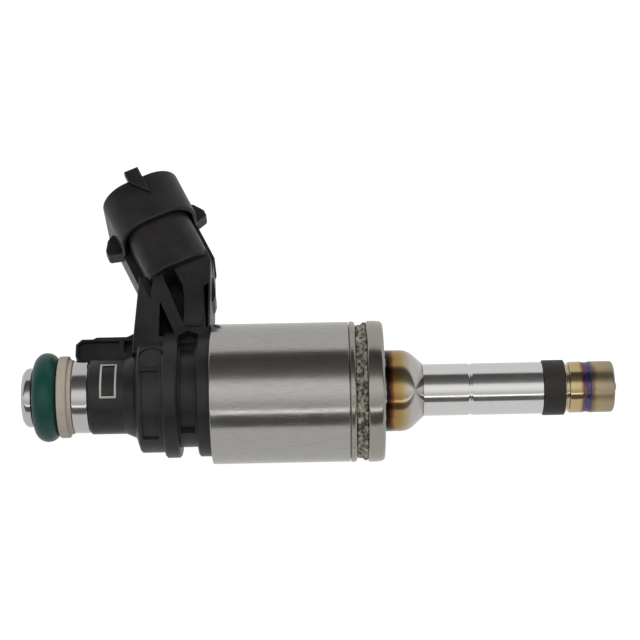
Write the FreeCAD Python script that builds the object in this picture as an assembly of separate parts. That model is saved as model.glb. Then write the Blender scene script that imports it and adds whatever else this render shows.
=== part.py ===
import FreeCAD, Part
import math
import os

# Solenoid fuel injector for direct petrol injection, lying on its side, in millimetres.
# +X runs along the injector's axis towards the nozzle tip, and X = 0 is the flange's tip-side face.
# +Y is the connector's side, and the connector's middle plane is Z = 0.
# Radii are measured from the X axis. Every solid is built where it stands.

V = FreeCAD.Vector
AXIS = V(1, 0, 0)

# ---------------------------------------------------------------- fits
running_play = 0.03         # radial play of the needle in its guides
armature_play = 0.10        # radial play of the armature in its sleeve
assembly_play = 0.05        # radial play of parts slipped over each other
stacking_gap = 0.1          # end play between parts stacked in the housing

# ---------------------------------------------------------------- outside of the metal parts
housing_r = 10.35
housing_wall = 1.45
housing_length = 20.25
housing_bevel = 0.25
yoke_thickness = 1.6
flange_over = 0.1           # the flange stands this far outside the housing
flange_length = 2.5
flange_bevel = 0.35
flange_taper = 0.1
weld_width = 1.6
weld_bead = 0.75
weld_under = 0.1
weld_groove_depth = 0.5
weld_depth = 1.6
ridge_over = 0.06
ridge_width = 0.85
ridge_bevel = 0.15
ridge_groove_width = 0.1
ridge_groove_depth = 0.45
boss_r = 6.0
boss_length = 2.4
cone_start_x = 3.55         # where the boss's side and the cone would meet
cone_end_x = 5.85
cone_corner = 1.2           # how far the rounding between them reaches

# ---------------------------------------------------------------- nozzle
nozzle_length = 33.9        # from the flange's face to the flat of the tip
tube_r = 3.82
tube_wall = 1.52
tube_seat_x = 0.4
tube_seat_depth = 0.82
notch_x = 12.75
notch_width = 0.6
notch_depth = 0.18
seal_length = 3.15
seal_over = 0.26
seal_groove_depth = 0.62
seal_to_joint = 6.3
rim_width = 0.25
neck_depth = 0.42
neck_length = 0.4
head_under = 0.05
tip_length = 4.1
tip_corner = 0.6
tip_weld_width = 1.0
tip_weld_depth = 0.09
tip_weld_root = 0.4
dome_r = 1.1
dome_height = 0.65
spigot_length = 1.6
spray_holes = 6
spray_r = 0.11
spray_angle = 28.0

# ---------------------------------------------------------------- valve
needle_r = 1.1
ball_r = 1.6
ball_land = 0.06            # the ball's flat is this much wider than the needle
seat_gap = 0.01
seat_bore_play = 0.18
tip_wall = 0.64
sac_r = 0.4
sac_depth = 0.1
guide_to_ball = 6.4
guide_length = 1.6
guide_holes = 4
guide_hole_r = 0.35
lift = 0.08
free_travel = 0.04
closed_gap = 0.01           # gap that is left between armature and pole at full lift
pole_to_body = 4.9          # room for the armature, from the pole's face to the valve body
pole_r = 4.6
pole_bore_r = 1.9
sleeve_wall = 0.5
sleeve_socket = 1.5
armature_length = 3.67
armature_pocket_depth = 1.27
armature_holes = 6
armature_hole_r = 0.6
stop_ring_length = 1.0
stop_ring_play = 0.15
stop_ring_land = 0.03       # width of the stop ring's seat round the armature's pocket
stop_sleeve_length = 1.0
stop_sleeve_r = 2.0
spring_play = 0.11
closing_wire_r = 0.25
closing_pitch = 0.98
armature_wire_r = 0.11
armature_pitch = 0.36

# ---------------------------------------------------------------- coil
moulding_depth = 2.7        # how deep the moulding stands in the housing
cover_thickness = 1.4
bobbin_wall = 0.65
bobbin_flange = 1.0
bobbin_play = 0.4
winding_under = 0.4

# ---------------------------------------------------------------- inlet
inlet_collar_r = 4.375
inlet_collar_length = 1.6
inlet_chamfer = 0.6
inlet_bore_r = 1.8
inlet_mouth = 0.7
inlet_groove_r = 2.9
inlet_tube_r = 5.375
inlet_neck_under = 0.2
pole_socket = 1.8           # the inlet tube's fit in the sleeve, behind the pole
tube_showing = 2.45         # the wide part of the tube outside the moulding
o_ring_section_r = 1.85
backup_length = 2.05
backup_r = 6.05
backup_land = 1.4
backup_step_r = 5.5
backup_bevel = 0.2
filter_set_back = 0.9
filter_wall = 0.3
filter_length = 7.6
filter_slots = 4
filter_slot_width = 0.7
adjuster_set_back = 0.6
adjuster_length = 3.4
adjuster_bore_r = 1.0
adjuster_slot = 0.4

# ---------------------------------------------------------------- plastic moulding
collar_r = 5.6
collar_length = 5.2
flare_length = 1.6
flare_step = 0.6
flare_mid_r = 6.3
disc_a_r = 8.47
disc_a_length = 3.7
disc_b_r = 9.3
disc_b_length = 2.2
disc_c_r = 7.75
disc_c_length = 2.7
disc_d_under = 1.17
disc_d_length = 2.0
edge_bevel = 0.25
frame_from_end = 1.8
frame_length = 2.5
frame_angle = 29.0
frame_height = 0.15
frame_line = 0.35
panel_depth = 0.35
panel_margin = 0.7
panel_from = -75.0
panel_to = -1.0
channel_depth = 0.8
channel_margin = 0.3
channel_from = -72.0
channel_to = 41.0
gate_from_disc = 2.1
gate_angle = 16.0
gate_r = 1.85
gate_depth = 0.3
lug_reach = 2.4
lug_root = 4.0
lug_half = 2.0
lug_pocket_depth = 0.7
lug_edge = 0.35

# ---------------------------------------------------------------- stem and connector
# The connector's own frame: e across, t along its axis outwards, z as the object's Z.
lean = 25.0
foot_in_housing = 3.9       # where the connector's axis meets the injector's, inside the housing
shroud_e = 6.2
shroud_z = 8.8
shroud_corner = 4.5
shroud_edge = 0.35
shroud_base_t = 20.3
shroud_length = 15.7
shroud_step = 7.6           # length of the wide part
step_depth = 1.2
skirt_wall = 0.6            # the wide part's wall where it stands off the neck
skirt_gap_depth = 1.6
neck_wall = 0.9
step_from_z = 1.0
shroud_wall = 1.2
floor_thickness = 3.7
stem_half = 6.2
stem_edge = 0.3
stem_deep_floor = 1.5
stem_foot_floor = 4.3
wedge_floor = 4.0
back_rib_half = 2.0
stem_trim_y = 22.7          # the connector's corner is cut flush with the stem up to here
latch_play = 0.75
latch_length = 3.2
latch_out = 2.1
latch_half = 1.25
latch_edge = 0.4
tab_length = 3.6
tab_over = 1.4
tab_left = -1.5
tab_right = 0.75
tab_out = 0.7
tab_root = 0.8
tab_straight = 0.7
tab_edge = 0.2
label_height = 0.3
label_root = 0.4

# ---------------------------------------------------------------- terminals
blade_z = 2.95              # the blades' inner edges lie on the bobbin's hub circle
blade_width = 1.5
blade_thickness = 0.64
blade_in_bobbin = 0.5
blade_turn = 7.1            # from the connector's foot to the bend, along the injector
blade_under_rim = 6.0
blade_play = 0.4

# ---------------------------------------------------------------- stations that follow from the sizes
# steel parts, from the flange towards the inlet
weld_x0 = -flange_length - weld_width
ridge_x0 = weld_x0 - ridge_width
housing_end = ridge_x0 - ridge_groove_width
housing_x0 = housing_end - housing_length
housing_bore_r = housing_r - housing_wall
flange_r = housing_r + flange_over
ridge_r = housing_r + ridge_over
weld_r = housing_r - weld_under
weld_root_r = housing_r - weld_under - weld_depth
sleeve_r = pole_r + sleeve_wall
sleeve_end_x = weld_x0 + sleeve_socket
cored_r = sleeve_r + assembly_play

# coil and the pole above the armature
cover_x = housing_x0 + moulding_depth
bobbin_x = cover_x + cover_thickness + stacking_gap
bobbin_end = housing_end - yoke_thickness - 2 * stacking_gap
bobbin_hub_r = cored_r + bobbin_wall
bobbin_r = housing_bore_r - bobbin_play
winding_r = bobbin_r - winding_under
sleeve_start_x = bobbin_x + stacking_gap
inlet_end_x = sleeve_start_x + pole_socket
inlet_neck_r = pole_r - inlet_neck_under
pole_face_x = weld_x0 - pole_to_body
adjuster_x = inlet_end_x + adjuster_set_back
adjuster_end = adjuster_x + adjuster_length

# armature and needle, closed
armature_top = pole_face_x + lift + free_travel + closed_gap
armature_foot = armature_top + armature_length
armature_hole_ring_r = (pole_bore_r + pole_r - armature_play) / 2
stop_ring_r = pole_bore_r - stop_ring_play
stop_ring_foot = armature_top - free_travel
armature_pocket_r = stop_ring_r - stop_ring_land
armature_coil_r = armature_pocket_r - spring_play - armature_wire_r
closing_coil_r = pole_bore_r - 2 * spring_play - closing_wire_r
needle_top = stop_ring_foot - stop_ring_length

# nozzle and tip, from the tip back
tube_bore_r = tube_r - tube_wall
joint_x = nozzle_length - tip_length
seal_x = joint_x - seal_to_joint
seal_end = seal_x + seal_length
seal_r = tube_r + seal_over
seal_groove_r = tube_r - seal_groove_depth
head_r = tube_r - head_under
neck_r = head_r - neck_depth
ball_x = nozzle_length - tip_wall - ball_r * math.sqrt(2)
ball_flat_x = ball_x - math.sqrt(ball_r ** 2 - (needle_r + ball_land) ** 2)
guide_x = ball_x - guide_to_ball
seat_bore_r = ball_r + seat_bore_play

# moulding, from the housing towards the inlet
disc_d_r = housing_r - disc_d_under
disc_d_x = housing_x0 - disc_d_length
disc_c_x = disc_d_x - disc_c_length
disc_b_x = disc_c_x - disc_b_length
disc_a_x = disc_b_x - disc_a_length
flare_mid_x = disc_a_x - flare_step
flare_x = flare_mid_x - flare_length
collar_x = flare_x - collar_length
lug_x = collar_x - lug_reach
frame_x = collar_x + frame_from_end
gate_x = disc_a_x + gate_from_disc

# seals and inlet end
inlet_shoulder_x = collar_x - tube_showing
backup_x = inlet_shoulder_x - backup_length
o_ring_x = backup_x - o_ring_section_r
inlet_groove_x = o_ring_x - o_ring_section_r - stacking_gap
inlet_x = inlet_groove_x - inlet_collar_length

# stem and connector
foot_x = housing_x0 + foot_in_housing
rim_t = shroud_base_t + shroud_length
step_t = rim_t - shroud_step
floor_t = shroud_base_t + floor_thickness
mouth_t = step_t + skirt_gap_depth + shroud_wall
latch_t0 = step_t + latch_play
latch_t1 = latch_t0 + latch_length
tab_t0 = rim_t - tab_length
blade_start_x = bobbin_x + blade_in_bobbin
blade_y = math.sqrt(bobbin_hub_r ** 2 - (blade_z - blade_width / 2) ** 2) + blade_thickness / 2
blade_turn_x = foot_x - blade_turn
blade_end_t = rim_t - blade_under_rim


# ---------------------------------------------------------------- helpers
def turned(outline):
    """Solid of revolution about the X axis from a closed outline of (x, r) points."""
    points = [V(x, r, 0) for x, r in outline]
    face = Part.Face(Part.makePolygon(points + points[:1]))
    return face.revolve(V(0, 0, 0), AXIS, 360)


def rod(x0, x1, r):
    return Part.makeCylinder(r, x1 - x0, V(x0, 0, 0), AXIS)


def ring(x0, x1, r_in, r_out):
    return turned([(x0, r_in), (x0, r_out), (x1, r_out), (x1, r_in)])


def block(x0, x1, y0, y1, z0, z1):
    return Part.makeBox(x1 - x0, y1 - y0, z1 - z0, V(x0, y0, z0))


def plate(points, z0, z1):
    """Prism along Z over a polygon of (x, y) points."""
    corners = [V(x, y, z0) for x, y in points]
    face = Part.Face(Part.makePolygon(corners + corners[:1]))
    return face.extrude(V(0, 0, z1 - z0))


def mirrored(shape):
    """The same shape on the other side of the connector's middle plane."""
    return shape.mirror(V(0, 0, 0), V(0, 0, 1))


def both_sides(shape):
    return shape.fuse(mirrored(shape))


def sector(x0, x1, r_in, r_out, angle0, angle1):
    """Part of a ring between two angles, measured about X from +Z towards +Y."""
    face = Part.Face(Part.makePolygon([
        V(x0, 0, r_in),
        V(x1, 0, r_in),
        V(x1, 0, r_out),
        V(x0, 0, r_out),
        V(x0, 0, r_in),
    ]))
    face.rotate(V(0, 0, 0), AXIS, -angle0)
    return face.revolve(V(0, 0, 0), AXIS, -(angle1 - angle0))


def holes_round(count, ring_r, hole_r, x0, x1):
    """Axial drillings evenly spaced on a circle."""
    tools = []
    for n in range(count):
        turn = 2 * math.pi * n / count
        centre = V(x0, ring_r * math.cos(turn), ring_r * math.sin(turn))
        tools.append(Part.makeCylinder(hole_r, x1 - x0, centre, AXIS))
    return tools


def coil_spring(x0, x1, coil_r, wire_r, pitch):
    """Round-wire compression spring whose wire stays between x0 and x1."""
    height = x1 - x0 - 2 * wire_r
    helix = Part.makeHelix(pitch, height, coil_r)
    section = Part.Wire(Part.makeCircle(wire_r, V(coil_r, 0, 0), V(0, 1, 0)))
    spring = Part.Wire(helix).makePipeShell([section], True, True)
    spring.rotate(V(0, 0, 0), V(0, 1, 0), 90)
    spring.translate(V(x0 + wire_r, 0, 0))
    return spring


def in_connector(shape):
    """Places a shape that was drawn with x = e and y = t into the leaning connector."""
    placed = shape.copy()
    placed.Placement = FreeCAD.Placement(V(foot_x, 0, 0), FreeCAD.Rotation(V(0, 0, 1), lean))
    return placed


def oval(half_e, half_z, corner, t0, t1):
    """Prism along t with a rounded rectangular section, in the connector's frame."""
    box = Part.makeBox(2 * half_e, t1 - t0, 2 * half_z, V(-half_e, t0, -half_z))
    along = [e for e in box.Edges
             if abs(e.Vertexes[0].Point.y - e.Vertexes[1].Point.y) > 1e-6]
    return box.makeFillet(corner, along)


def edges_rounded(shape, test, radius):
    """Rounds every edge whose end and middle points all pass the test."""
    chosen = []
    for edge in shape.Edges:
        middle = edge.valueAt((edge.FirstParameter + edge.LastParameter) / 2)
        if all(test(p) for p in [v.Point for v in edge.Vertexes] + [middle]):
            chosen.append(edge)
    return shape.makeFillet(radius, chosen)


def on_faces(half):
    """Test for points on the two flat faces of a plate that is 2 * half thick."""
    return lambda p: abs(abs(p.z) - half) < 1e-6


def point_at(e, t):
    """The (x, y) place of a connector point."""
    a = math.radians(lean)
    return foot_x + e * math.cos(a) - t * math.sin(a), e * math.sin(a) + t * math.cos(a)


# ---------------------------------------------------------------- inlet group
def inlet_tube():
    c = inlet_chamfer
    outer = turned([
        (inlet_x, 0),
        (inlet_x, inlet_collar_r - c),
        (inlet_x + c, inlet_collar_r),
        (inlet_groove_x, inlet_collar_r),
        (inlet_groove_x, inlet_groove_r),
        (inlet_shoulder_x, inlet_groove_r),
        (inlet_shoulder_x, inlet_tube_r),
        (collar_x, inlet_tube_r),
        (collar_x, inlet_neck_r),
        (sleeve_start_x, inlet_neck_r),
        (sleeve_start_x, pole_r),
        (inlet_end_x, pole_r),
        (inlet_end_x, 0),
    ])
    bore = rod(inlet_x, inlet_end_x, inlet_bore_r)
    mouth = turned([
        (inlet_x, 0),
        (inlet_x, inlet_bore_r + inlet_mouth),
        (inlet_x + inlet_mouth, inlet_bore_r),
        (inlet_x + inlet_mouth, 0),
    ])
    return outer.cut([bore, mouth])


def inlet_filter():
    """Cup with long slots, pressed into the inlet by a short band at its mouth."""
    x0 = inlet_x + filter_set_back
    x1 = x0 + filter_length
    band = 1.2
    cup = rod(x0, x1, inlet_bore_r)
    hollow = rod(x0, x1 - filter_wall, inlet_bore_r - filter_wall)
    relief = ring(x0 + band, x1, inlet_bore_r - assembly_play, inlet_bore_r + 1)
    cup = cup.cut([hollow, relief])
    half = filter_slot_width / 2
    slots = []
    for n in range(filter_slots):
        slot = block(x0 + 1.5 * band, x1 - band, 0, inlet_bore_r + 1, -half, half)
        slot.rotate(V(0, 0, 0), AXIS, 360.0 * n / filter_slots + 45)
        slots.append(slot)
    return cup.cut(slots)


def adjusting_sleeve():
    sleeve = ring(adjuster_x, adjuster_end, adjuster_bore_r, pole_bore_r)
    slot = block(adjuster_x, adjuster_end, 0, pole_bore_r + 1, -adjuster_slot / 2, adjuster_slot / 2)
    return sleeve.cut(slot)


def rail_o_ring():
    middle = inlet_groove_r + o_ring_section_r
    return Part.makeTorus(middle, o_ring_section_r, V(o_ring_x, 0, 0), AXIS)


def backup_ring():
    step_x = backup_x + backup_land
    return turned([
        (backup_x, inlet_groove_r),
        (backup_x, backup_r - backup_bevel),
        (backup_x + backup_bevel, backup_r),
        (step_x, backup_r),
        (step_x, backup_step_r),
        (inlet_shoulder_x, backup_step_r),
        (inlet_shoulder_x, inlet_groove_r),
    ])


# ---------------------------------------------------------------- electrical group
def terminal(z_middle):
    """Bent contact strip from the coil's flange through the stem to the connector."""
    half = blade_thickness / 2
    z0 = z_middle - blade_width / 2
    a = math.radians(lean)
    t_turn = (foot_x - blade_turn_x) / math.sin(a)
    turn_y = t_turn * math.cos(a)
    cut = half * math.tan(a / 2)
    tip_l = point_at(-half, blade_end_t)
    tip_r = point_at(half, blade_end_t)
    outline = [
        (blade_start_x, blade_y - half),
        (blade_turn_x - half, blade_y - half),
        (blade_turn_x - half, turn_y - cut),
        tip_l,
        tip_r,
        (blade_turn_x + half, turn_y + cut),
        (blade_turn_x + half, blade_y + half),
        (blade_start_x, blade_y + half),
    ]
    return plate(outline, z0, z0 + blade_width)


def cover_washer():
    washer = ring(cover_x, cover_x + cover_thickness, cored_r, housing_bore_r)
    reach_y = blade_thickness / 2 + blade_play
    reach_z = blade_width / 2 + blade_play
    gaps = []
    for z in (-blade_z, blade_z):
        gaps.append(block(cover_x, cover_x + cover_thickness, blade_y - reach_y, blade_y + reach_y,
                          z - reach_z, z + reach_z))
    return washer.cut(gaps)


def coil_bobbin(terminals):
    body = turned([
        (bobbin_x, cored_r),
        (bobbin_x, bobbin_r),
        (bobbin_x + bobbin_flange, bobbin_r),
        (bobbin_x + bobbin_flange, bobbin_hub_r),
        (bobbin_end - bobbin_flange, bobbin_hub_r),
        (bobbin_end - bobbin_flange, bobbin_r),
        (bobbin_end, bobbin_r),
        (bobbin_end, cored_r),
    ])
    return body.cut(terminals)


def coil_winding():
    return ring(bobbin_x + bobbin_flange, bobbin_end - bobbin_flange, bobbin_hub_r, winding_r)


# ---------------------------------------------------------------- plastic moulding
def moulded_barrel():
    """The turned shape of the moulding round the inlet tube, down into the steel pot."""
    b = edge_bevel
    return turned([
        (collar_x, inlet_neck_r),
        (collar_x, collar_r - b),
        (collar_x + b, collar_r),
        (flare_x, collar_r),
        (flare_mid_x, flare_mid_r),
        (disc_a_x, disc_a_r - b),
        (disc_a_x + b, disc_a_r),
        (disc_b_x, disc_a_r),
        (disc_b_x, disc_b_r - b),
        (disc_b_x + b, disc_b_r),
        (disc_c_x - b, disc_b_r),
        (disc_c_x, disc_b_r - b),
        (disc_c_x, disc_c_r),
        (disc_d_x, disc_c_r),
        (disc_d_x, disc_d_r - b),
        (disc_d_x + b, disc_d_r),
        (housing_x0, disc_d_r),
        (housing_x0, housing_bore_r),
        (cover_x, housing_bore_r),
        (cover_x, inlet_neck_r),
    ])


def from_foot(points):
    """Outline points given from the connector's foot, moved to their place."""
    return [(foot_x + x, y) for x, y in points]


def stem():
    """Stem between barrel and connector, with its ribs left standing between pockets."""
    body = plate(from_foot([
        (-15.45, 4.0),
        (-15.3, 7.0),
        (-14.85, 14.3),
        (-14.6, 17.6),
        (-8.6, 20.6),
        (-4.6, 21.3),
        (-4.0, 19.7),
        (-4.0, 4.0),
    ]), -stem_half, stem_half)
    body = edges_rounded(body, on_faces(stem_half), stem_edge)
    back_rib = plate(from_foot([
        (-4.5, 20.0),
        (-3.9, 18.6),
        (-3.55, 16.6),
        (-3.5, 15.6),
        (-3.7, 14.8),
        (-4.5, 14.0),
    ]), -back_rib_half, back_rib_half)
    top = stem_half + 1
    pockets = [
        plate(from_foot([(-11.5, 12.6), (-11.55, 6.6), (-8.95, 6.6)]), stem_deep_floor, top),
        plate(from_foot([
            (-11.2, 16.9),
            (-10.2, 18.0),
            (-9.5, 18.0),
            (-8.1, 15.2),
            (-7.85, 12.6),
            (-7.85, 9.9),
            (-8.0, 8.7),
        ]), stem_deep_floor, top),
        plate(from_foot([(-5.0, 15.0), (-4.3, 15.5), (-4.3, 8.0), (-4.6, 8.0), (-4.8, 11.2)]),
              stem_deep_floor, top),
        plate(from_foot([(-15.1, 17.8), (-12.95, 12.9), (-12.6, 16.2), (-13.6, 18.6)]), wedge_floor, top),
        plate(from_foot([(-9.1, 4.9), (-8.9, 6.6), (-7.2, 7.5), (-5.7, 6.9), (-5.6, 4.9)]),
              stem_foot_floor, top),
    ]
    for pocket in pockets:
        body = body.cut(both_sides(pocket))
    return body.fuse(back_rib)


def label_plate():
    """Raised plain field on the stem's face, slightly bowed."""
    outline = from_foot([
        (-7.8, 8.2),
        (-5.25, 8.15),
        (-5.0, 9.9),
        (-5.0, 12.6),
        (-5.3, 15.7),
        (-6.0, 17.8),
        (-8.0, 17.2),
        (-7.6, 15.2),
        (-7.45, 12.6),
        (-7.5, 9.9),
    ])
    return plate(outline, stem_half - label_root, stem_half + label_height)


def latch(side):
    """Ramp that holds the mating plug, on one narrow side of the shroud."""
    inner = side * (shroud_e - 0.6)
    outer = side * (shroud_e + latch_out)
    rib = plate([
        (inner, latch_t0 - 0.3),
        (outer, latch_t0 + 0.5),
        (outer, latch_t1 - 1.6),
        (outer - side * 0.9, latch_t1 - 0.2),
        (inner, latch_t1 + 0.6),
    ], -latch_half, latch_half)
    return edges_rounded(rib, lambda p: side * p.x > shroud_e + latch_out - 1.0, latch_edge)


def shroud():
    """Outside of the connector in its own frame, with the stepped neck on the label side."""
    wide = oval(shroud_e, shroud_z, shroud_corner, step_t, rim_t)
    wide = edges_rounded(wide, lambda p: abs(p.y - rim_t) < 1e-6, shroud_edge)
    wide = edges_rounded(wide, lambda p: abs(p.y - step_t) < 1e-6, shroud_edge)
    neck = oval(shroud_e - step_depth, shroud_z - step_depth, shroud_corner - step_depth,
                shroud_base_t, mouth_t)
    neck = edges_rounded(neck, lambda p: abs(p.y - shroud_base_t) < 1e-6, shroud_edge)
    back = oval(shroud_e, shroud_z, shroud_corner, shroud_base_t, step_t + 1)
    back = back.common(block(-shroud_e, shroud_e, shroud_base_t, step_t + 1, -shroud_z, step_from_z))
    gap = oval(shroud_e - skirt_wall, shroud_z - skirt_wall, shroud_corner - skirt_wall,
               step_t - 1, step_t + skirt_gap_depth)
    gap = gap.common(block(-shroud_e, shroud_e, step_t - 1, step_t + skirt_gap_depth, step_from_z, shroud_z))
    wide = wide.cut(gap.cut(oval(shroud_e - step_depth, shroud_z - step_depth,
                                 shroud_corner - step_depth, step_t - 2, step_t + 2 + skirt_gap_depth)))
    return wide.fuse([neck, back, coding_rib(), latch(-1), latch(1)])


def coding_rib():
    """Rib past the rim that tapers to a point, rooted in the wall so that it stays one piece with it."""
    end_t = rim_t + tab_over
    rib = plate([
        (tab_right, tab_t0),
        (tab_right, end_t),
        (tab_left, end_t),
        (tab_left, rim_t - tab_straight),
    ], shroud_z - tab_root, shroud_z + tab_out)
    return edges_rounded(rib, lambda p: p.z > shroud_z + tab_out - 1e-6, tab_edge)


def cavity():
    """Socket for the plug: wide at the mouth, narrower inside the neck."""
    inset = step_depth + neck_wall
    mouth = oval(shroud_e - shroud_wall, shroud_z - shroud_wall, shroud_corner - shroud_wall,
                 mouth_t, rim_t + tab_over + 1)
    inner = oval(shroud_e - inset, shroud_z - inset, shroud_corner - inset, floor_t, mouth_t + 1)
    return mouth.fuse(inner)


def lug():
    """Key over the inlet tube that sets the injector's turn in the rail cup's fork."""
    outline = [(lug_x + x, y) for x, y in [
        (0, 5.9),
        (0, 7.75),
        (0.9, 8.6),
        (2.5, 8.6),
        (3.1, 8.9),
        (7.6, 8.9),
    ]]
    outline += [
        (disc_a_x - 0.1, 10.0),
        (disc_a_x - 0.1, lug_root),
        (lug_x + 0.6, lug_root),
        (lug_x + 0.6, 5.3),
    ]
    body = plate(outline, -lug_half, lug_half)
    body = edges_rounded(body, on_faces(lug_half), lug_edge / 2)
    front = plate([
        (lug_x + 0.45, 4.5),
        (lug_x + 0.45, 7.6),
        (lug_x + 1.1, 8.2),
        (flare_x - 1.1, 8.2),
        (flare_x - 1.1, 4.5),
    ], lug_half - lug_pocket_depth, lug_half + 1)
    rear = block(flare_x - 0.4, flare_mid_x + 0.6, 6.3, 8.2, lug_half - 2 * lug_pocket_depth, lug_half + 1)
    body = body.cut(both_sides(front))
    return body.cut(both_sides(rear))


def connector_housing(terminals):
    barrel = moulded_barrel()
    frame = sector(frame_x, frame_x + frame_length, collar_r - frame_line, collar_r + frame_height,
                   -frame_angle, frame_angle)
    inset = math.degrees(frame_line / collar_r)
    inside = sector(frame_x + frame_line, frame_x + frame_length - frame_line, collar_r,
                    collar_r + 1, -frame_angle + inset, frame_angle - inset)
    gate = Part.makeCylinder(gate_r, 2.0, V(gate_x, 0, disc_a_r - gate_depth), V(0, 0, 1))
    gate.rotate(V(0, 0, 0), AXIS, -gate_angle)
    trim = block(foot_x - 4.0, foot_x + shroud_e, collar_r, stem_trim_y, -shroud_z - 1, shroud_z + 1)
    trim = trim.cut(rod(disc_a_x - 1, cover_x + 1, housing_r))
    leaning = in_connector(shroud()).cut(trim)
    body = barrel.fuse([frame.cut(inside), stem(), label_plate(), lug(), leaning])
    panel = sector(disc_a_x + panel_margin, disc_b_x - panel_margin, disc_a_r - panel_depth,
                   disc_a_r + 1, panel_from, panel_to)
    channel = sector(disc_c_x + channel_margin, disc_d_x - channel_margin, disc_c_r - channel_depth,
                     disc_c_r + 1, channel_from, channel_to)
    through = rod(collar_x - 1, cover_x + 1, inlet_neck_r)
    tube_side = rod(lug_x - 1, collar_x, inlet_tube_r + assembly_play)
    body = body.cut([panel, channel, gate, through, tube_side, in_connector(cavity())])
    return body.cut(terminals).removeSplitter()


# ---------------------------------------------------------------- magnetic group
def solenoid_housing():
    b = housing_bevel
    return turned([
        (housing_x0, housing_bore_r),
        (housing_x0, housing_r - b),
        (housing_x0 + b, housing_r),
        (housing_end - b, housing_r),
        (housing_end, housing_r - b),
        (housing_end, cored_r),
        (housing_end - yoke_thickness, cored_r),
        (housing_end - yoke_thickness, housing_bore_r),
    ])


def spacer_ring():
    b = ridge_bevel
    groove_r = housing_r - ridge_groove_depth
    return turned([
        (housing_end, cored_r),
        (housing_end, groove_r),
        (ridge_x0, groove_r),
        (ridge_x0, ridge_r - b),
        (ridge_x0 + b, ridge_r),
        (weld_x0 - b, ridge_r),
        (weld_x0, ridge_r - b),
        (weld_x0, cored_r),
    ])


def valve_sleeve():
    return ring(sleeve_start_x, sleeve_end_x, pole_r, sleeve_r)


def inner_pole():
    return ring(inlet_end_x, pole_face_x, pole_bore_r, pole_r)


def housing_weld():
    """Sunken track beside the ridge and a raised bead against the flange."""
    bead_x = -flange_length - weld_bead
    track_r = weld_r - weld_groove_depth
    return turned([
        (weld_x0, weld_root_r),
        (weld_x0, track_r),
        (bead_x, track_r),
        (bead_x + 0.25, weld_r),
        (-flange_length - 0.25, weld_r),
        (-flange_length, weld_r - 0.2),
        (-flange_length, weld_root_r),
    ])


# ---------------------------------------------------------------- valve group
def valve_body():
    foot_r = tube_r + assembly_play
    cone_length = math.hypot(cone_end_x - cone_start_x, boss_r - foot_r)
    reach_x = cone_corner * (cone_end_x - cone_start_x) / cone_length
    reach_r = cone_corner * (boss_r - foot_r) / cone_length
    steps = 6
    shoulder = []
    for n in range(steps + 1):
        share = n / steps
        before = (1 - share) ** 2 * (cone_start_x - boss_length)
        shoulder.append((cone_start_x - before + share ** 2 * reach_x, boss_r - share ** 2 * reach_r))
    outline = [
        (weld_x0, sleeve_r),
        (weld_x0, weld_root_r),
        (-flange_length, weld_root_r),
        (-flange_length, flange_r - flange_bevel),
        (-flange_length + flange_bevel / 2, flange_r),
        (-flange_length / 2, flange_r),
        (-flange_bevel, flange_r - flange_taper),
        (0, flange_r - flange_taper - flange_bevel),
        (0, boss_r),
    ]
    outline += shoulder
    outline += [
        (cone_end_x, foot_r),
        (cone_end_x, tube_r),
        (tube_seat_x, tube_r),
        (tube_seat_x, tube_r - tube_seat_depth),
        (sleeve_end_x, tube_r - tube_seat_depth),
        (sleeve_end_x, sleeve_r),
    ]
    return turned(outline)


def nozzle_tube():
    weld_start = joint_x - tip_weld_width / 2
    rim_end = seal_end + rim_width
    neck_end = rim_end + neck_length
    return turned([
        (tube_seat_x, tube_bore_r),
        (tube_seat_x, tube_r),
        (notch_x - notch_width / 2, tube_r),
        (notch_x, tube_r - notch_depth),
        (notch_x + notch_width / 2, tube_r),
        (seal_x, tube_r),
        (seal_x, seal_groove_r),
        (seal_end, seal_groove_r),
        (seal_end, head_r),
        (rim_end, head_r),
        (rim_end, neck_r),
        (neck_end, neck_r),
        (neck_end, head_r - 0.2),
        (neck_end + 0.2, head_r),
        (weld_start, head_r),
        (weld_start, head_r - tip_weld_root),
        (joint_x, head_r - tip_weld_root),
        (joint_x, tube_bore_r),
    ])


def combustion_seal():
    b = assembly_play + 0.07
    return turned([
        (seal_x, seal_groove_r),
        (seal_x, seal_r - b),
        (seal_x + b, seal_r),
        (seal_end - b, seal_r),
        (seal_end, seal_r - b),
        (seal_end, seal_groove_r),
    ])


def tip_weld():
    half = tip_weld_width / 2
    waist = head_r - tip_weld_depth
    return turned([
        (joint_x - half, head_r - tip_weld_root),
        (joint_x - half, head_r),
        (joint_x - half * 0.4, waist),
        (joint_x + half * 0.4, waist),
        (joint_x + half, head_r),
        (joint_x + half, head_r - tip_weld_root),
    ])


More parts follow.
